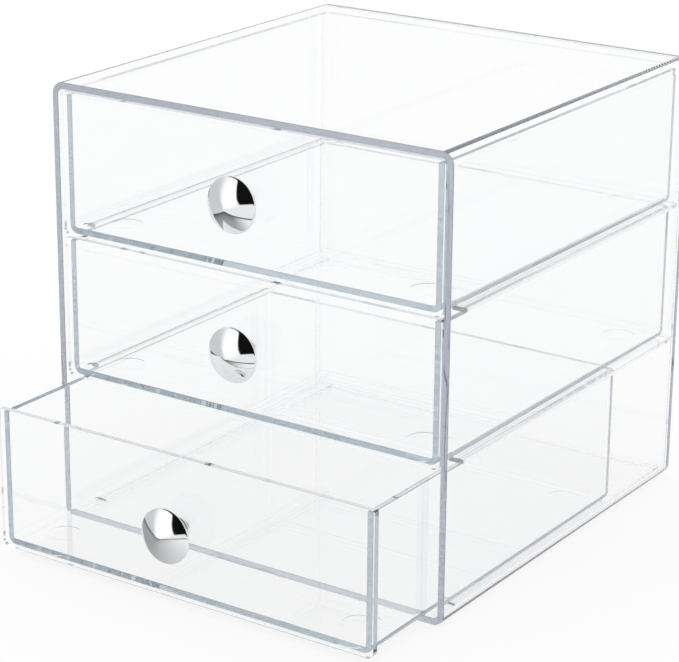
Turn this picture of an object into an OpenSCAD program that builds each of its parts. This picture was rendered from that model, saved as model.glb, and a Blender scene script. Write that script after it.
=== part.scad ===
// Clear desktop organiser with three sliding drawers.
// Origin: middle of the casing's underside. +X right, +Y to the back, +Z up. Millimetres.

/* [Casing] */
// Outside width of the casing
casing_w = 165; // [120:1:320]
// Outside depth of the casing, front rim to back face
casing_d = 165; // [120:1:320]
// Outside height of the casing
casing_h = 165; // [120:1:320]
// Thickness of the top, floor and sides
casing_t = 2.5; // [2:0.1:4]
// Thickness of the back panel
back_t = 2.5; // [2:0.1:4]
// Inner radius of the four long corners
inner_r = 2; // [1.5:0.1:5]

/* [Runners] */
// Width of a tray's flat underside that lies on each runner
runner_bearing = 0.5; // [0.4:0.1:3]
// Thickness of the runners on the side walls
runner_t = 1.7; // [1.2:0.1:3]
// Distance from the casing's front rim to the runners' front ends
runner_setback = 12; // [8:0.5:30]

/* [Drawer fronts] */
// Thickness of a drawer front
front_t = 2.4; // [2:0.1:4]
// How far a closed front sits behind the casing's front rim
front_inset = 0.6; // [0:0.1:3]
// Gap between a front and the casing's side walls
front_side_gap = 0.7; // [0.4:0.1:1.5]
// Gap above each front
front_top_gap = 0.8; // [0.5:0.1:2]
// Gap between the bottom front and the casing floor
front_floor_gap = 0.3; // [0.2:0.1:1]
// How much rounder a front's lower corners are than the casing's inner corners
low_corner_ease = 0.5; // [0.2:0.1:2]
// How much sharper a front's upper corners are than the casing's inner corners
high_corner_ease = 1.2; // [0.8:0.1:1.3]

/* [Drawer trays] */
// Wall and floor thickness of a tray
tray_t = 2.3; // [1.8:0.1:3]
// Outer radius of a tray's rounded edges
tray_r = 3.3; // [3.2:0.1:5]
// How far a front reaches past the tray at each side
side_overhang = 1.5; // [1:0.1:1.8]
// How far a front hangs below the tray
low_overhang = 0.7; // [0.4:0.1:1.2]
// Gap between a tray's top edge and the runner above it
tray_top_gap = 1; // [0.5:0.1:2]
// Gap behind a closed tray
rear_gap = 0.4; // [0.3:0.1:2]
// Diameter of the round moulding marks in the tray floor
mark_d = 12; // [6:1:16]
// Depth of the moulding marks
mark_depth = 0.15; // [0.1:0.05:0.3]
// Distance from the tray's outer walls to the middle of a mark
mark_edge = 14; // [12:0.5:20]

/* [Knobs] */
// Diameter of the knob's disc
knob_d = 20; // [16:0.5:26]
// Length of the knob, front of the drawer to the tip of its cone
knob_len = 11.5; // [9:0.1:15]
// Height of the cone face
cone_h = 3.7; // [2:0.1:4.5]
// How much the cone face bulges
cone_crown = 0.55; // [0.1:0.05:0.6]
// Thickness of the disc at its rim
rim_t = 0.9; // [0.7:0.1:1.5]
// Diameter of the foot against the drawer front
foot_d = 10; // [7:0.1:12]
// Height of the foot
foot_h = 1; // [0.6:0.1:1.5]
// Diameter of the waist
waist_d = 6.4; // [5:0.1:6.8]
// Rounding of the disc's rim
rim_r = 0.3; // [0.15:0.05:0.35]
// Bevel round the foot
foot_bevel = 0.2; // [0.1:0.05:0.4]

/* [Knob screws] */
// Diameter of the screw's shank
screw_d = 2.5; // [2:0.1:3]
// Diameter of the screw's head
head_d = 5; // [4:0.1:6]
// Height of the screw's head
head_h = 1.6; // [1:0.1:2.5]
// How far the screw goes into the knob
screw_bite = 5; // [3:0.5:6]
// Clearance round the shank in the drawer front
hole_gap = 0.2; // [0.1:0.05:0.5]
// Clearance round the shank in the knob's bore
bore_gap = 0.05; // [0.03:0.01:0.1]
// Width of the cross recess in the screw's head
recess_w = 0.8; // [0.5:0.1:1.2]
// Length of each slot of the cross recess
recess_len = 3; // [2:0.1:3.6]
// Depth of the cross recess
recess_depth = 0.9; // [0.4:0.1:0.9]

/* [Drawers as shown] */
// How far the top drawer stands open
open_top = 0; // [0:0.5:100]
// How far the middle drawer stands open
open_middle = 0; // [0:0.5:100]
// How far the bottom drawer stands open
open_bottom = 38.5; // [0:0.5:100]

/* [Hidden] */
$fn = 96;

CLEAR = [0.86, 0.91, 0.95, 0.35];
CLEAR_EDGE = [0.70, 0.78, 0.86, 0.5];
CHROME = [0.80, 0.80, 0.82];
STEEL = [0.62, 0.63, 0.65];

// Levels are counted from the bottom: 0, 1 and 2
LEVELS = 3;
BOTTOM = 0;
MIDDLE = 1;
TOP = 2;
open_by = [open_bottom, open_middle, open_top];

// Faces of the casing
front_y = -casing_d / 2;
back_y = casing_d / 2 - back_t;
inner_w = casing_w - 2 * casing_t;
inner_h = casing_h - 2 * casing_t;
casing_r = inner_r + casing_t;

// Drawer fronts share the height of the opening
front_w = inner_w - 2 * front_side_gap;
front_h = (inner_h - front_floor_gap - LEVELS * front_top_gap) / LEVELS;
pitch = front_h + front_top_gap;
front_low_r = inner_r + low_corner_ease;
front_high_r = inner_r - high_corner_ease;

// The tray hangs behind its front
tray_w = front_w - 2 * side_overhang;
tray_h = pitch - runner_t - tray_top_gap;
tray_front_y = front_y + front_inset + front_t;
tray_back_y = back_y - rear_gap;
tray_len = tray_back_y - tray_front_y;
tray_in_r = tray_r - tray_t;
mark_x = tray_w / 2 - mark_edge;
mark_y = [mark_edge, tray_len - mark_edge];

// Runners reach in under the flat of the trays, from behind the casing's front rim to the back panel
runner_w = front_side_gap + side_overhang + tray_r + runner_bearing;
runner_len = back_y - front_y - runner_setback;
// The runners that stand on the floor fill the height below the bottom tray
floor_runner_t = front_floor_gap + low_overhang;

// Cuts run past the faces they open by this much
cut = 1;
// Steps along each curved line of the knob's outline
curve_steps = 12;
// How far the rim's rounding turns before the cone face leaves it
rim_turn = 60;

// Bottom of the drawer front on a level
function front_z(level) = casing_t + front_floor_gap + level * pitch;
// Bottom of the tray on a level, which is also the top of its runners
function tray_z(level) = front_z(level) + low_overhang;

// A rectangle standing on the X axis, centred on the Y axis, with its own radius for each pair of corners
module rounded_panel(w, h, low_r, high_r) {
    difference() {
        translate([-w / 2, 0]) square([w, h]);
        for (side = [-1, 1]) {
            corner_waste(side * w / 2, 0, low_r, -side, 1);
            corner_waste(side * w / 2, h, high_r, -side, -1);
        }
    }
}

// The waste outside a rounded corner at (x, y); in_x and in_y point into the panel
module corner_waste(x, y, r, in_x, in_y) {
    difference() {
        translate([x + in_x * (r - cut) / 2, y + in_y * (r - cut) / 2]) square(r + cut, center = true);
        translate([x + in_x * r, y + in_y * r]) circle(r);
    }
}

// Stands a drawing in X and Z up and gives it a length along Y
module along_y(y, len) {
    translate([0, y + len, 0]) rotate([90, 0, 0]) linear_extrude(len) children();
}

// Moves a piece out with its drawer
module pulled(level) {
    translate([0, -open_by[level], 0]) children();
}

// Turns a piece made about +Z so that +Z points to the viewer, at the middle of a drawer's front face
module at_knob(level) {
    translate([0, front_y + front_inset, front_z(level) + front_h / 2]) rotate([90, 0, 0]) children();
}

module casing_shell() {
    color(CLEAR) difference() {
        along_y(front_y, casing_d - back_t) rounded_panel(casing_w, casing_h, casing_r, casing_r);
        translate([0, 0, casing_t]) along_y(front_y - cut, casing_d - back_t + 2 * cut)
            rounded_panel(inner_w, inner_h, inner_r, inner_r);
    }
}

module casing_back() {
    color(CLEAR) along_y(back_y, back_t) rounded_panel(casing_w, casing_h, casing_r, casing_r);
}

// A ledge on a side wall; side is -1 for left and 1 for right
module wall_runner(level, side) {
    color(CLEAR_EDGE)
        translate([side * (inner_w - runner_w) / 2, back_y - runner_len / 2, tray_z(level) - runner_t / 2])
        cube([runner_w, runner_len, runner_t], center = true);
}

// A low strip on the floor, beside the casing's inner corner
module floor_runner(side) {
    middle_x = inner_w / 2 - inner_r - runner_w / 2;
    color(CLEAR_EDGE)
        translate([side * middle_x, back_y - runner_len / 2, casing_t + floor_runner_t / 2])
        cube([runner_w, runner_len, floor_runner_t], center = true);
}

// A block with the tray's rounded edges: along both sides, along the back and up the back corners
module tray_block(w, len, h, r) {
    intersection() {
        along_y(0, len) rounded_panel(w, h + r, r, r);
        translate([-w / 2, 0, 0]) rotate([90, 0, 90]) linear_extrude(w) difference() {
            square([len, h]);
            corner_waste(len, 0, r, -1, 1);
        }
        linear_extrude(h) rotate(180) translate([0, -len]) rounded_panel(w, len + r, r, r);
    }
}

module drawer_tray(level) {
    color(CLEAR) pulled(level) translate([0, tray_front_y, tray_z(level)]) difference() {
        tray_block(tray_w, tray_len, tray_h, tray_r);
        translate([0, -cut, tray_t])
            tray_block(tray_w - 2 * tray_t, tray_len - tray_t + cut, tray_h + cut, tray_in_r);
        for (x = [-mark_x, mark_x], y = mark_y)
            translate([x, y, tray_t - mark_depth]) cylinder(d = mark_d, h = cut);
    }
}

module drawer_front(level) {
    color(CLEAR) pulled(level) difference() {
        translate([0, 0, front_z(level)]) along_y(front_y + front_inset, front_t)
            rounded_panel(front_w, front_h, front_low_r, front_high_r);
        at_knob(level) translate([0, 0, -front_t - cut])
            cylinder(r = screw_d / 2 + hole_gap, h = front_t + 2 * cut);
    }
}

// Outline of the knob from its foot to the tip of its cone, as [radius, distance from the drawer front]
function knob_outline() =
    let (foot = foot_d / 2)
    let (waist = waist_d / 2)
    let (rim = knob_d / 2 - rim_r)
    let (rim_z = knob_len - cone_h)
    let (flare_z = rim_z - rim_t)
    let (cone_r = rim + rim_r * cos(rim_turn))
    let (cone_z = rim_z - rim_r + rim_r * sin(rim_turn))
    concat(
        [[0, 0], [foot - foot_bevel, 0], [foot, foot_bevel], [foot, foot_h]],
        // the waist flares out to the back of the disc
        [for (i = [0:curve_steps])
            let (a = 90 * i / curve_steps)
            [waist + (rim - waist) * (1 - cos(a)), foot_h + (flare_z - foot_h) * sin(a)]],
        // the rim, rounded behind and in front
        [for (i = [1:curve_steps])
            let (a = -90 + 90 * i / curve_steps)
            [rim + rim_r * cos(a), flare_z + rim_r + rim_r * sin(a)]],
        [for (i = [0:curve_steps - 1])
            let (a = rim_turn * i / curve_steps)
            [rim + rim_r * cos(a), rim_z - rim_r + rim_r * sin(a)]],
        // the cone face, crowned by an even bulge
        [for (i = [0:curve_steps])
            let (t = i / curve_steps)
            [cone_r * (1 - t), cone_z + (knob_len - cone_z) * t + cone_crown * sin(180 * t)]]
    );

module knob(level) {
    color(CHROME) pulled(level) at_knob(level) difference() {
        rotate_extrude() polygon(knob_outline());
        translate([0, 0, -cut]) cylinder(r = screw_d / 2 + bore_gap, h = screw_bite + bore_gap + cut);
    }
}

module knob_screw(level) {
    color(STEEL) pulled(level) at_knob(level) difference() {
        union() {
            translate([0, 0, -front_t]) cylinder(d = screw_d, h = front_t + screw_bite);
            translate([0, 0, -front_t - head_h]) cylinder(d = head_d, h = head_h);
        }
        for (a = [0, 90])
            rotate(a) translate([0, 0, -front_t - head_h])
                cube([recess_len, recess_w, 2 * recess_depth], center = true);
    }
}

casing_shell();
casing_back();
wall_runner(TOP, -1);  // runner_top_left
wall_runner(TOP, 1);  // runner_top_right
wall_runner(MIDDLE, -1);  // runner_middle_left
wall_runner(MIDDLE, 1);  // runner_middle_right
floor_runner(-1);  // runner_bottom_left
floor_runner(1);  // runner_bottom_right
drawer_tray(TOP);  // drawer_top_tray
drawer_front(TOP);  // drawer_top_front
knob(TOP);  // drawer_top_knob
knob_screw(TOP);  // drawer_top_knob_screw
drawer_tray(MIDDLE);  // drawer_middle_tray
drawer_front(MIDDLE);  // drawer_middle_front
knob(MIDDLE);  // drawer_middle_knob
knob_screw(MIDDLE);  // drawer_middle_knob_screw
drawer_tray(BOTTOM);  // drawer_bottom_tray
drawer_front(BOTTOM);  // drawer_bottom_front
knob(BOTTOM);  // drawer_bottom_knob
knob_screw(BOTTOM);  // drawer_bottom_knob_screw
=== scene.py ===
import math
import bmesh
import bpy
from mathutils import Matrix, Vector


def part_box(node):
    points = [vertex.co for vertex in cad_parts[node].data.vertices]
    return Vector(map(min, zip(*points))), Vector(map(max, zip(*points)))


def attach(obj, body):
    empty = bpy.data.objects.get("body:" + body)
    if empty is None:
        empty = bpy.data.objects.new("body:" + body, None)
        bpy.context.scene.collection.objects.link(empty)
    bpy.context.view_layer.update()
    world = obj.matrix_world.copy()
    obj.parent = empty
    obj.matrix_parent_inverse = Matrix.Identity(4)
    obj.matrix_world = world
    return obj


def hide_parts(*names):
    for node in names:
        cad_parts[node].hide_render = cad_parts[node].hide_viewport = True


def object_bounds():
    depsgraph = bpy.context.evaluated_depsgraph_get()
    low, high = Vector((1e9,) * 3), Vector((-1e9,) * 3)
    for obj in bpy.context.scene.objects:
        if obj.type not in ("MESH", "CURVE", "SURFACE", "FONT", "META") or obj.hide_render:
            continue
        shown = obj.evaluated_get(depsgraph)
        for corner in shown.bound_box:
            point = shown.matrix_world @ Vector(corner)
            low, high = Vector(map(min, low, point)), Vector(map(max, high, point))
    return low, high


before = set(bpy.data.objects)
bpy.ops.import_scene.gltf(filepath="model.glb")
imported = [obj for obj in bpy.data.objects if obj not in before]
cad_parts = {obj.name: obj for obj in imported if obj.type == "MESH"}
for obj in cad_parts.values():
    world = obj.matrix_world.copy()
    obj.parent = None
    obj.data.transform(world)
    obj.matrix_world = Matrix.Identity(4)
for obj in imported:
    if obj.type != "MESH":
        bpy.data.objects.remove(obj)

cadLow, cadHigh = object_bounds()
mm = 0.001
seam = 0.04 * mm  # air left between cemented or resting clear faces, so that no two lie in one plane
overcut = 1 * mm  # how far a cutter stands out of what it cuts
samePlace = 1e-6  # metres, for finding an edge by where it lies
sameWay = 0.999  # cosine, for finding an edge or a face by its direction
levels = ("bottom", "middle", "top")
sides = ("left", "right")


# An operator acts on all that is selected, so each step lets everything go and then picks what it works on
def selectOnly(piece):
    bpy.ops.object.select_all(action="DESELECT")
    piece.select_set(True)
    bpy.context.view_layer.objects.active = piece


def startEdit(piece, mode):
    selectOnly(piece)
    bpy.ops.object.mode_set(mode="EDIT")
    bpy.ops.mesh.select_mode(type=mode)
    bpy.ops.mesh.select_all(action="DESELECT")


def pick(piece, wanted, kind="edges"):
    mesh = bmesh.from_edit_mesh(piece.data)
    for part in getattr(mesh, kind):
        part.select_set(wanted(part))
    bmesh.update_edit_mesh(piece.data)


def endEdit():
    bpy.ops.object.mode_set(mode="OBJECT")


def modify(piece, kind, **settings):
    bpy.context.view_layer.objects.active = piece
    bpy.ops.object.modifier_add(type=kind)
    modifier = piece.modifiers[-1]
    for name, value in settings.items():
        setattr(modifier, name, value)
    bpy.ops.object.modifier_apply(modifier=modifier.name)


def addBlock(low, high):
    bpy.ops.object.select_all(action="DESELECT")
    bpy.ops.mesh.primitive_cube_add(size=1, location=(Vector(low) + Vector(high)) / 2)
    block = bpy.context.object
    block.scale = Vector(high) - Vector(low)
    bpy.ops.object.transform_apply(location=True, rotation=True, scale=True)
    return block


def runsAlong(axis, **places):
    # an edge test: parallel to one axis, and lying at the given places on the others
    def test(edge):
        a, b = (vertex.co for vertex in edge.verts)
        if abs((b - a).normalized()[axis]) < sameWay:
            return False
        middle = (a + b) / 2
        return all(abs(middle["xyz".index(key)] - value) < samePlace for key, value in places.items())
    return test


def roundEdges(piece, wanted, radius, steps):
    startEdit(piece, "EDGE")
    pick(piece, wanted)
    bpy.ops.mesh.bevel(offset=radius, offset_type="OFFSET", segments=steps, profile=0.5, affect="EDGES")
    endEdit()


def openFaces(piece, ways):
    startEdit(piece, "FACE")
    pick(piece, lambda face: any(face.normal.dot(Vector(way)) > sameWay for way in ways), "faces")
    bpy.ops.mesh.delete(type="FACE")
    endEdit()


# Every saw-cut or moulded arris is flame polished to a small round
polish = {
    "steps": 3,
    "sharpFrom": 50,  # degrees between two faces, from which their edge is an arris
}


def polishEdges(piece, width):
    modify(piece, "BEVEL", width=width, segments=polish["steps"], limit_method="ANGLE",
           angle_limit=math.radians(polish["sharpFrom"]), use_clamp_overlap=True)


def finishSurface(piece):
    # smooth over the rounds, while the large faces keep their own normal and so look flat
    selectOnly(piece)
    bpy.ops.object.shade_smooth()
    modify(piece, "WEIGHTED_NORMAL", mode="FACE_AREA", weight=100, keep_sharp=True)


def cutRound(piece, radius, low, high, steps):
    # low and high are the ends of the cutter's axis
    low, high = Vector(low), Vector(high)
    bpy.ops.object.select_all(action="DESELECT")
    bpy.ops.mesh.primitive_cylinder_add(vertices=steps, radius=radius, depth=(high - low).length,
                                        location=(low + high) / 2,
                                        rotation=(high - low).to_track_quat("Z", "Y").to_euler())
    cutter = bpy.context.object
    bpy.ops.object.transform_apply(location=True, rotation=True, scale=True)
    selectOnly(piece)
    modify(piece, "BOOLEAN", object=cutter, operation="DIFFERENCE", solver="EXACT")
    bpy.data.objects.remove(cutter)


def linear(hexCode):
    parts = [int(hexCode[i:i + 2], 16) / 255 for i in (1, 3, 5)]
    return [c / 12.92 if c <= 0.04045 else ((c + 0.055) / 1.055) ** 2.4 for c in parts] + [1.0]


def addNode(tree, kind, values=None, links=None, **settings):
    node = tree.nodes.new(kind)
    for name, value in settings.items():
        setattr(node, name, value)
    for name, value in (values or {}).items():
        node.inputs[name].default_value = value
    for name, source in (links or {}).items():
        tree.links.new(source, node.inputs[name])
    return node


def newMaterial(name):
    material = bpy.data.materials.new(name)
    material.use_nodes = True
    tree = material.node_tree
    tree.nodes.clear()
    return material, tree, tree.nodes.new("ShaderNodeOutputMaterial")


# Clear cast acrylic, polished: colourless through a wall, grey-blue where the eye looks along a sheet
acrylic = {
    "ior": 1.491,
    "roughness": 0.0,
    "casing": ("#A7B0BF", 7.0),  # tint, and how fast it deepens, per metre
    "drawer": ("#AFC0CC", 7.0),
    "runner": ("#8C8F9E", 12.0),  # the strips read darker, most of all at their cut ends
    "waveSize": 22 * mm,  # long, shallow waves left by cooling in the mould
    "waveHeight": 0.022 * mm,
}


def clearAcrylic(name, part):
    material, tree, output = newMaterial(name)
    tint, deepening = acrylic[part]
    place = addNode(tree, "ShaderNodeTexCoord")
    waves = addNode(tree, "ShaderNodeTexNoise",
                    {"Scale": 1 / acrylic["waveSize"], "Detail": 1.0, "Roughness": 0.4},
                    {"Vector": place.outputs["Object"]})
    ripple = addNode(tree, "ShaderNodeBump", {"Strength": 1.0, "Distance": acrylic["waveHeight"]},
                     {"Height": waves.outputs["Fac"]})
    surface = addNode(tree, "ShaderNodeBsdfPrincipled",
                      {"Base Color": linear("#FFFFFF"), "Transmission Weight": 1.0, "IOR": acrylic["ior"],
                       "Roughness": acrylic["roughness"]},
                      {"Normal": ripple.outputs["Normal"]})
    depth = addNode(tree, "ShaderNodeVolumeAbsorption", {"Color": linear(tint), "Density": deepening})
    tree.links.new(surface.outputs[0], output.inputs["Surface"])
    tree.links.new(depth.outputs[0], output.inputs["Volume"])
    return material


# Chrome plate on turned brass: a cool mirror, with the faintest haze of polishing
chrome = {
    "colour": "#E6E8EA",
    "roughness": (0.02, 0.06),
    "hazeSize": 1.5 * mm,
    "waveSize": 1.8 * mm,  # the buffed brass shows through as a slight unevenness
    "waveHeight": 0.003 * mm,
}


def chromePlate(name):
    material, tree, output = newMaterial(name)
    place = addNode(tree, "ShaderNodeTexCoord")
    haze = addNode(tree, "ShaderNodeTexNoise", {"Scale": 1 / chrome["hazeSize"], "Detail": 3.0},
                   {"Vector": place.outputs["Object"]})
    low, high = chrome["roughness"]
    rough = addNode(tree, "ShaderNodeMapRange", {"To Min": low, "To Max": high},
                    {"Value": haze.outputs["Fac"]})
    waves = addNode(tree, "ShaderNodeTexNoise", {"Scale": 1 / chrome["waveSize"], "Detail": 1.0},
                    {"Vector": place.outputs["Object"]})
    uneven = addNode(tree, "ShaderNodeBump", {"Strength": 1.0, "Distance": chrome["waveHeight"]},
                     {"Height": waves.outputs["Fac"]})
    surface = addNode(tree, "ShaderNodeBsdfPrincipled",
                      {"Base Color": linear(chrome["colour"]), "Metallic": 1.0},
                      {"Roughness": rough.outputs["Result"], "Normal": uneven.outputs["Normal"]})
    tree.links.new(surface.outputs[0], output.inputs["Surface"])
    return material


# Zinc-plated steel: dull grey with a fine mottle
steel = {
    "colours": ("#9A9C9E", "#B9BBBD"),
    "roughness": (0.28, 0.45),
    "grainSize": 0.4 * mm,
}


def zincSteel(name):
    material, tree, output = newMaterial(name)
    place = addNode(tree, "ShaderNodeTexCoord")
    grain = addNode(tree, "ShaderNodeTexNoise", {"Scale": 1 / steel["grainSize"], "Detail": 4.0},
                    {"Vector": place.outputs["Object"]})
    dark, light = steel["colours"]
    colour = addNode(tree, "ShaderNodeMix", {"A": linear(dark), "B": linear(light)},
                     {"Factor": grain.outputs["Fac"]}, data_type="RGBA")
    low, high = steel["roughness"]
    rough = addNode(tree, "ShaderNodeMapRange", {"To Min": low, "To Max": high},
                    {"Value": grain.outputs["Fac"]})
    surface = addNode(tree, "ShaderNodeBsdfPrincipled", {"Metallic": 1.0},
                      {"Base Color": colour.outputs["Result"], "Roughness": rough.outputs["Result"]})
    tree.links.new(surface.outputs[0], output.inputs["Surface"])
    return material


casingAcrylic = clearAcrylic("acrylicCasing", "casing")
runnerAcrylic = clearAcrylic("acrylicRunner", "runner")
drawerAcrylic = clearAcrylic("acrylicDrawer", "drawer")
knobChrome = chromePlate("chromeKnob")
screwZinc = zincSteel("zincScrew")
print("materials ready")


def wear(piece, material):
    piece.data.materials.clear()
    piece.data.materials.append(material)


def dress(piece, name, material, body, node):
    piece.name = piece.data.name = name
    wear(piece, material)
    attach(piece, body)
    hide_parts(node)


def corners(node):
    return [Vector(corner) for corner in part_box(node)]


def makeAlike(make, nodes):
    # the first piece is modelled, and the others are copies of it, each moved to where its CAD node lies
    first = make(nodes[0])
    start = corners(nodes[0])[0]
    alike = [first]
    for node in nodes[1:]:
        selectOnly(first)
        bpy.ops.object.duplicate_move(TRANSFORM_OT_translate={"value": corners(node)[0] - start})
        bpy.ops.object.transform_apply(location=True, rotation=True, scale=True)
        alike.append(bpy.context.object)
    return alike


casing = {
    "wall": 2.5 * mm,
    "cornerRadius": 4.5 * mm,
    "cornerSteps": 12,
    "polish": 0.3 * mm,
}


def makeShell():
    low, high = corners("casing_shell")
    shell = addBlock(low, (high.x, high.y - seam, high.z))
    roundEdges(shell, runsAlong(1), casing["cornerRadius"], casing["cornerSteps"])
    openFaces(shell, [(0, -1, 0), (0, 1, 0)])
    modify(shell, "SOLIDIFY", thickness=casing["wall"], offset=-1, use_even_offset=True)
    polishEdges(shell, casing["polish"])
    finishSurface(shell)
    dress(shell, "casingShell", casingAcrylic, "casing", "casing_shell")


def makeBack():
    low, high = corners("casing_back")
    back = addBlock(low, high)
    roundEdges(back, runsAlong(1), casing["cornerRadius"], casing["cornerSteps"])
    polishEdges(back, casing["polish"])
    finishSurface(back)
    dress(back, "casingBack", casingAcrylic, "casing", "casing_back")


runner = {
    "polish": 0.45 * mm,  # well rounded, so that the drawers run easily
}


def makeRunner(node):
    low, high = corners(node)
    inset = Vector((seam, 0, seam))
    strip = addBlock(low + inset, high - inset - Vector((0, seam, 0)))
    polishEdges(strip, runner["polish"])
    finishSurface(strip)
    return strip


def makeRunners(levelsAlike):
    spots = [(level, side) for level in levelsAlike for side in sides]
    nodes = [f"runner_{level}_{side}" for level, side in spots]
    for (level, side), node, strip in zip(spots, nodes, makeAlike(makeRunner, nodes)):
        dress(strip, f"{level}{side.capitalize()}Runner", runnerAcrylic, "casing", node)


tray = {
    "wall": 2.3 * mm,
    "edgeRadius": 3.3 * mm,
    "edgeSteps": 8,
    "polish": 0.25 * mm,
    "markRadius": 6 * mm,  # the moulding marks near the corners of the floor
    "markDepth": 0.15 * mm,
    "markEdge": 14 * mm,
    "markSteps": 64,
}


def makeTray(node):
    low, high = corners(node)
    shell = addBlock(low, high)
    bottomSides = runsAlong(1, z=low.z)
    bottomBack = runsAlong(0, y=high.y, z=low.z)
    backCorners = runsAlong(2, y=high.y)
    roundEdges(shell, lambda edge: bottomSides(edge) or bottomBack(edge) or backCorners(edge),
               tray["edgeRadius"], tray["edgeSteps"])
    openFaces(shell, [(0, 0, 1), (0, -1, 0)])
    modify(shell, "SOLIDIFY", thickness=tray["wall"], offset=-1, use_even_offset=True)
    polishEdges(shell, tray["polish"])
    floorTop = low.z + tray["wall"]
    markFloor = floorTop - tray["markDepth"]
    for x in (low.x + tray["markEdge"], high.x - tray["markEdge"]):
        for y in (low.y + tray["markEdge"], high.y - tray["markEdge"]):
            cutRound(shell, tray["markRadius"], (x, y, markFloor), (x, y, floorTop + overcut),
                     tray["markSteps"])
    finishSurface(shell)
    return shell


panel = {
    "lowRadius": 2.5 * mm,
    "highRadius": 0.8 * mm,
    "cornerSteps": 8,
    "topRound": 0.9 * mm,
    "topSteps": 5,
    "polish": 0.3 * mm,
    "holeRadius": 1.45 * mm,
    "holeSteps": 32,
}


def makeFront(node):
    low, high = corners(node)
    front = addBlock(low, (high.x, high.y - seam, high.z))
    roundEdges(front, runsAlong(1, z=low.z), panel["lowRadius"], panel["cornerSteps"])
    roundEdges(front, runsAlong(1, z=high.z), panel["highRadius"], panel["cornerSteps"])
    roundEdges(front, runsAlong(0, z=high.z), panel["topRound"], panel["topSteps"])
    polishEdges(front, panel["polish"])
    middle = (low + high) / 2
    cutRound(front, panel["holeRadius"], (middle.x, low.y - overcut, middle.z),
             (middle.x, high.y + overcut, middle.z), panel["holeSteps"])
    finishSurface(front)
    return front


knob = {
    "footRadius": 5 * mm,
    "footHeight": 1 * mm,
    "footRound": 0.6 * mm,
    "footBevel": 0.15 * mm,
    "footSteps": 6,
    "waistRadius": 3.2 * mm,
    "rimThickness": 1.1 * mm,
    "rimFront": 0.8 * mm,  # rounding before and behind the rim's widest ring
    "rimFrontSteps": 8,
    "rimBack": 0.25 * mm,
    "rimBackSteps": 5,
    "rimTurn": 60,  # degrees of the front rounding before the cone face leaves it
    "coneHeight": 3.7 * mm,
    "crown": 0.55 * mm,  # how far the cone face swells at its middle
    "tipRadius": 1.2 * mm,  # the point is blunted by the drop, over this radius
    "tipDrop": 0.15 * mm,
    "turns": 128,
    "curveSteps": 14,
    "sharpFrom": 32,  # degrees
}


def turnedArc(radius, height, width, rise, start, end, steps):
    # rings along a quarter round, by degrees up from its widest ring
    angles = [math.radians(start + (end - start) * i / steps) for i in range(steps + 1)]
    return [(radius + width * math.cos(a), height + rise * math.sin(a)) for a in angles]


def knobOutline(radius, length):
    # radius and height of each ring, from the drawer front to the tip
    foot, footTop, waist = knob["footRadius"], knob["footHeight"], knob["waistRadius"]
    bevel, footRound = knob["footBevel"], knob["footRound"]
    front, behind = knob["rimFront"], knob["rimBack"]
    rimTop = length - knob["coneHeight"]
    flareTop = rimTop - knob["rimThickness"]
    flareEnd = radius - behind
    rings = [(foot - bevel, 0), (foot, bevel)]
    rings += turnedArc(foot - footRound, footTop - footRound, footRound, footRound, 0, 90,
                       knob["footSteps"])
    steps = knob["curveSteps"]
    for i in range(steps + 1):
        a = math.pi / 2 * i / steps
        flare = waist + (flareEnd - waist) * (1 - math.cos(a))
        rings.append((flare, footTop + (flareTop - footTop) * math.sin(a)))
    rings += turnedArc(flareEnd, flareTop + behind, behind, behind, -90, 0, knob["rimBackSteps"])[1:]
    rings += turnedArc(radius - front, rimTop - front, front, front, 0, knob["rimTurn"],
                       knob["rimFrontSteps"])
    coneRadius, coneBase = rings[-1]
    for i in range(1, 2 * steps + 1):
        t = i / (2 * steps)
        r = coneRadius * (1 - t)
        height = coneBase + (length - coneBase) * t + 4 * knob["crown"] * t * (1 - t)
        soft = max(0.0, 1 - r / knob["tipRadius"])
        rings.append((r, height - knob["tipDrop"] * soft ** 2))
    return rings


def makeKnob(node):
    low, high = corners(node)
    middle = (low + high) / 2
    rings = knobOutline((high.x - low.x) / 2, high.y - seam - low.y)
    start = Vector((middle.x, high.y - seam, middle.z))
    radius, height = rings[0]
    bpy.ops.object.select_all(action="DESELECT")
    bpy.ops.mesh.primitive_circle_add(vertices=knob["turns"], radius=radius, fill_type="NGON",
                                      location=start, rotation=(math.pi / 2, 0, 0))
    turned = bpy.context.object
    bpy.ops.object.transform_apply(location=True, rotation=True, scale=True)
    startEdit(turned, "EDGE")
    bpy.ops.mesh.select_all(action="SELECT")
    bpy.ops.mesh.region_to_loop()
    for nextRadius, nextHeight in rings[1:-1]:
        bpy.ops.mesh.extrude_edges_move(TRANSFORM_OT_translate={"value": (0, height - nextHeight, 0)})
        scale = nextRadius / radius
        bpy.ops.transform.resize(value=(scale, 1, scale), center_override=start)
        radius, height = nextRadius, nextHeight
    tipHeight = rings[-1][1]
    bpy.ops.mesh.extrude_edges_move(TRANSFORM_OT_translate={"value": (0, height - tipHeight, 0)})
    bpy.ops.mesh.merge(type="CENTER")
    bpy.ops.mesh.select_all(action="SELECT")
    bpy.ops.mesh.normals_make_consistent(inside=False)
    endEdit()
    bpy.ops.object.shade_smooth_by_angle(angle=math.radians(knob["sharpFrom"]))
    return turned


def makeDrawerPieces(part, make, material):
    nodes = [f"drawer_{level}_{part}" for level in levels]
    for level, node, piece in zip(levels, nodes, makeAlike(make, nodes)):
        dress(piece, f"{level}{part.capitalize()}", material, f"drawer_{level}", node)
    print(f"{part}s made")


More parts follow.
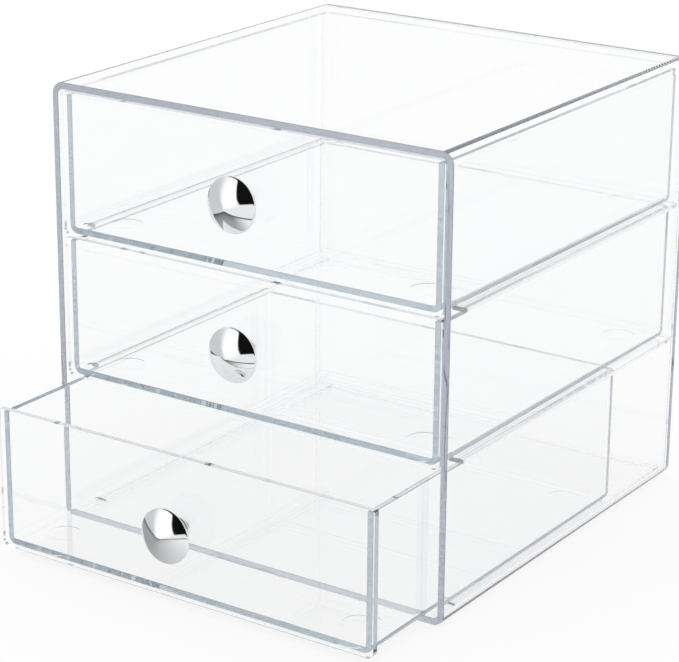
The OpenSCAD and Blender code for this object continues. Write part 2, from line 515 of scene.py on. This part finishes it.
makeShell()
makeBack()
print("casing made")
makeRunners(levels[:1])  # the two low strips on the floor
makeRunners(levels[1:])  # the four ledges on the walls
print("runners made")
makeDrawerPieces("tray", makeTray, drawerAcrylic)
makeDrawerPieces("front", makeFront, drawerAcrylic)
makeDrawerPieces("knob", makeKnob, knobChrome)
for level in levels:
    wear(bpy.data.objects[f"drawer_{level}_knob_screw"], screwZinc)
print("screws plated")


# A white table. To the eye it glows white and takes a soft shadow. Metal sees painted light and shade on it
# instead:
# a dim table with a painted lit side, that ends in a painted dark rim.
table = {
    "size": 12.0,
    "drop": 0.3 * mm,
    "shade": 0.12,  # share of the table that takes light and shadow; the rest glows to the eye
    "glow": 0.88,
    "paintedShadeGlow": (0.33, 0.06),  # painted shade: what metal sees of that glow, close by and far off
    "mirrorFall": (0.16, 0.26),
    "paintedLitSide": 0.95,  # painted light: the same on one side, as if a lamp lit it
    # where the painted lit side takes over, across the table
    "paintedLightEdges": (-0.05, 0.05),
    # a painted shadow: a dark line along the table's edge, as metal sees it
    "paintedRimPlace": (0.237, 0.249),
    "paintedRimShadow": 0.08,
    "mirrorEnd": (0.26, 0.27),  # beyond this metal sees past the table
}


def mirrorRay(tree, ray):
    # only metal: a ray off or through polished acrylic is glossy and singular, one off hazed chrome isn't
    return addNode(tree, "ShaderNodeMath",
                   links={0: ray.outputs["Is Glossy Ray"], 1: ray.outputs["Is Singular Ray"]},
                   operation="SUBTRACT", use_clamp=True).outputs[0]


def paintedMirrorTable(tree, place, away):
    # painted light and shade that only metal sees: dim, brighter on one side, and darker at a painted rim
    near, far = table["mirrorFall"]
    close, edge = table["paintedShadeGlow"]
    dim = addNode(tree, "ShaderNodeMapRange",
                  {"From Min": near, "From Max": far, "To Min": close, "To Max": edge},
                  {"Value": away}, interpolation_type="SMOOTHSTEP")
    across = addNode(tree, "ShaderNodeSeparateXYZ", links={0: place.outputs["Object"]})
    left, right = table["paintedLightEdges"]
    lit = addNode(tree, "ShaderNodeMapRange", {"From Min": left, "From Max": right},
                  {"Value": across.outputs["X"]}, interpolation_type="SMOOTHSTEP")
    glow = addNode(tree, "ShaderNodeMix", {"B": table["paintedLitSide"]},
                   {"Factor": lit.outputs["Result"], "A": dim.outputs["Result"]}, data_type="FLOAT")
    inner, outer = table["paintedRimPlace"]
    rim = addNode(tree, "ShaderNodeMapRange",
                  {"From Min": inner, "From Max": outer, "To Min": 1.0, "To Max": table["paintedRimShadow"]},
                  {"Value": away})
    return addNode(tree, "ShaderNodeMath", links={0: glow.outputs["Result"], 1: rim.outputs["Result"]},
                   operation="MULTIPLY").outputs[0]


def whiteTable(name):
    material, tree, output = newMaterial(name)
    ray = addNode(tree, "ShaderNodeLightPath")
    place = addNode(tree, "ShaderNodeTexCoord")
    away = addNode(tree, "ShaderNodeVectorMath", links={0: place.outputs["Object"]},
                   operation="LENGTH").outputs["Value"]
    seen = addNode(tree, "ShaderNodeMath",
                   links={0: ray.outputs["Is Camera Ray"], 1: ray.outputs["Is Singular Ray"]},
                   operation="MAXIMUM")
    plain = addNode(tree, "ShaderNodeMath", {1: table["glow"]}, {0: seen.outputs[0]}, operation="MULTIPLY")
    level = addNode(tree, "ShaderNodeMix",
                    links={"Factor": mirrorRay(tree, ray), "A": plain.outputs[0],
                           "B": paintedMirrorTable(tree, place, away)},
                    data_type="FLOAT")
    matte = addNode(tree, "ShaderNodeBsdfDiffuse", {"Color": [table["shade"]] * 3 + [1]})
    glow = addNode(tree, "ShaderNodeEmission", {"Color": linear("#FFFFFF")},
                   {"Strength": level.outputs["Result"]})
    top = addNode(tree, "ShaderNodeAddShader", links={0: matte.outputs[0], 1: glow.outputs[0]})
    start, end = table["mirrorEnd"]
    past = addNode(tree, "ShaderNodeMapRange", {"From Min": start, "From Max": end}, {"Value": away})
    gone = addNode(tree, "ShaderNodeMath", links={0: past.outputs["Result"], 1: mirrorRay(tree, ray)},
                   operation="MULTIPLY")
    side = addNode(tree, "ShaderNodeNewGeometry")  # from below the table is open, so the underside shows
    unseen = addNode(tree, "ShaderNodeMath", links={0: gone.outputs[0], 1: side.outputs["Backfacing"]},
                     operation="MAXIMUM")
    clear = addNode(tree, "ShaderNodeBsdfTransparent")
    both = addNode(tree, "ShaderNodeMixShader",
                   links={0: unseen.outputs[0], 1: top.outputs[0], 2: clear.outputs[0]})
    tree.links.new(both.outputs[0], output.inputs["Surface"])
    return material


def makeFloor():
    bpy.ops.object.select_all(action="DESELECT")
    bpy.ops.mesh.primitive_plane_add(size=table["size"], location=(0, 0, cadLow[2] - table["drop"]))
    floor = bpy.context.object
    floor.name = "studioFloor"
    floor.data.materials.append(whiteTable("matteFloor"))


# The room: an even white, and for metal a dark ceiling, a grey wall, the dark gap beside it, a lamp and the
# unlit place of the camera, in that order. Each card is the place that all its discs share. A disc has its
# middle, in degrees round from the front and up, and its half width. One of 90 degrees is half of the room.
# Its edge is blurred over the soft degrees.
room = {
    "horizon": 1.0,
    "overhead": 1.06,
    "overheadFrom": 0.8,  # height on a ball of radius 1 round the object
    "cards": [
        {"discs": [(0, 90, 42)], "soft": 8, "level": 0.12},
        {"discs": [(-85, -5, 34)], "soft": 40, "level": 0.72},
        {"discs": [(-112, 0, 20)], "soft": 6, "level": 0.03},
        {"discs": [(-22, 12, 26)], "soft": 28, "level": 1.32},
        {"discs": [(97, 30, 90), (0, 88, 92), (25, 25, 60)], "soft": 3, "level": 0.006},
    ],
}


def wayTo(around, up):
    around, up = math.radians(around), math.radians(up)
    return Vector((math.sin(around) * math.cos(up), -math.cos(around) * math.cos(up), math.sin(up)))


def discShare(tree, way, disc, soft):
    around, up, width = disc
    near = addNode(tree, "ShaderNodeVectorMath", {1: wayTo(around, up)}, {0: way.outputs["Generated"]},
                   operation="DOT_PRODUCT")
    inner, outer = (math.cos(math.radians(width + half * soft)) for half in (-0.5, 0.5))
    return addNode(tree, "ShaderNodeMapRange", {"From Min": outer, "From Max": inner},
                   {"Value": near.outputs["Value"]}, interpolation_type="SMOOTHSTEP").outputs["Result"]


def hangCards(tree, way, level):
    for card in room["cards"]:
        shares = [discShare(tree, way, disc, card["soft"]) for disc in card["discs"]]
        shared = shares[0]
        for share in shares[1:]:
            shared = addNode(tree, "ShaderNodeMath", links={0: shared, 1: share},
                             operation="MINIMUM").outputs[0]
        level = addNode(tree, "ShaderNodeMix", {"B": card["level"]}, {"Factor": shared, "A": level},
                        data_type="FLOAT").outputs["Result"]
    return level


def makeRoom():
    world = bpy.data.worlds.new("softRoom")
    bpy.context.scene.world = world
    world.use_nodes = True
    tree = world.node_tree
    tree.nodes.clear()
    output = tree.nodes.new("ShaderNodeOutputWorld")
    way = addNode(tree, "ShaderNodeTexCoord")
    split = addNode(tree, "ShaderNodeSeparateXYZ", links={0: way.outputs["Generated"]})
    even = addNode(tree, "ShaderNodeMapRange",
                   {"From Min": 0.0, "From Max": room["overheadFrom"], "To Min": room["horizon"],
                    "To Max": room["overhead"]},
                   {"Value": split.outputs["Z"]}, interpolation_type="SMOOTHSTEP").outputs["Result"]
    ray = addNode(tree, "ShaderNodeLightPath")
    level = addNode(tree, "ShaderNodeMix",
                    links={"Factor": mirrorRay(tree, ray), "A": even, "B": hangCards(tree, way, even)},
                    data_type="FLOAT")
    seen = addNode(tree, "ShaderNodeMix", {"B": 1.0},
                   {"Factor": ray.outputs["Is Camera Ray"], "A": level.outputs["Result"]}, data_type="FLOAT")
    light = addNode(tree, "ShaderNodeBackground", {"Color": linear("#FFFFFF")},
                    {"Strength": seen.outputs["Result"]})
    tree.links.new(light.outputs[0], output.inputs["Surface"])


view = {
    "azimuth": 34.05,
    "elevation": 19.29,
    "roll": 0.46,
    "place": (474.8 * mm, -726.6 * mm, 369.2 * mm),
    "lens": 131.43,
    "sensor": 36,
    "clip": (0.05, 50),
}


def makeCamera():
    data = bpy.data.cameras.new("photoCamera")
    data.sensor_width = view["sensor"]
    data.lens = view["lens"]
    data.clip_start, data.clip_end = view["clip"]
    camera = bpy.data.objects.new("photoCamera", data)
    bpy.context.scene.collection.objects.link(camera)
    camera.matrix_world = (Matrix.Translation(view["place"])
                           @ Matrix.Rotation(math.radians(view["azimuth"]), 4, "Z")
                           @ Matrix.Rotation(math.radians(90 - view["elevation"]), 4, "X")
                           @ Matrix.Rotation(math.radians(view["roll"]), 4, "Z"))
    bpy.context.scene.camera = camera


# light runs far along a clear sheet before it leaves at an edge
bounces = {
    "max_bounces": 160,
    "transmission_bounces": 128,
    "glossy_bounces": 128,
    "transparent_max_bounces": 24,
}

makeFloor()
makeRoom()
makeCamera()
scene = bpy.context.scene
scene.view_settings.view_transform = "Standard"
for name, count in bounces.items():
    setattr(scene.cycles, name, count)
print("studio ready")
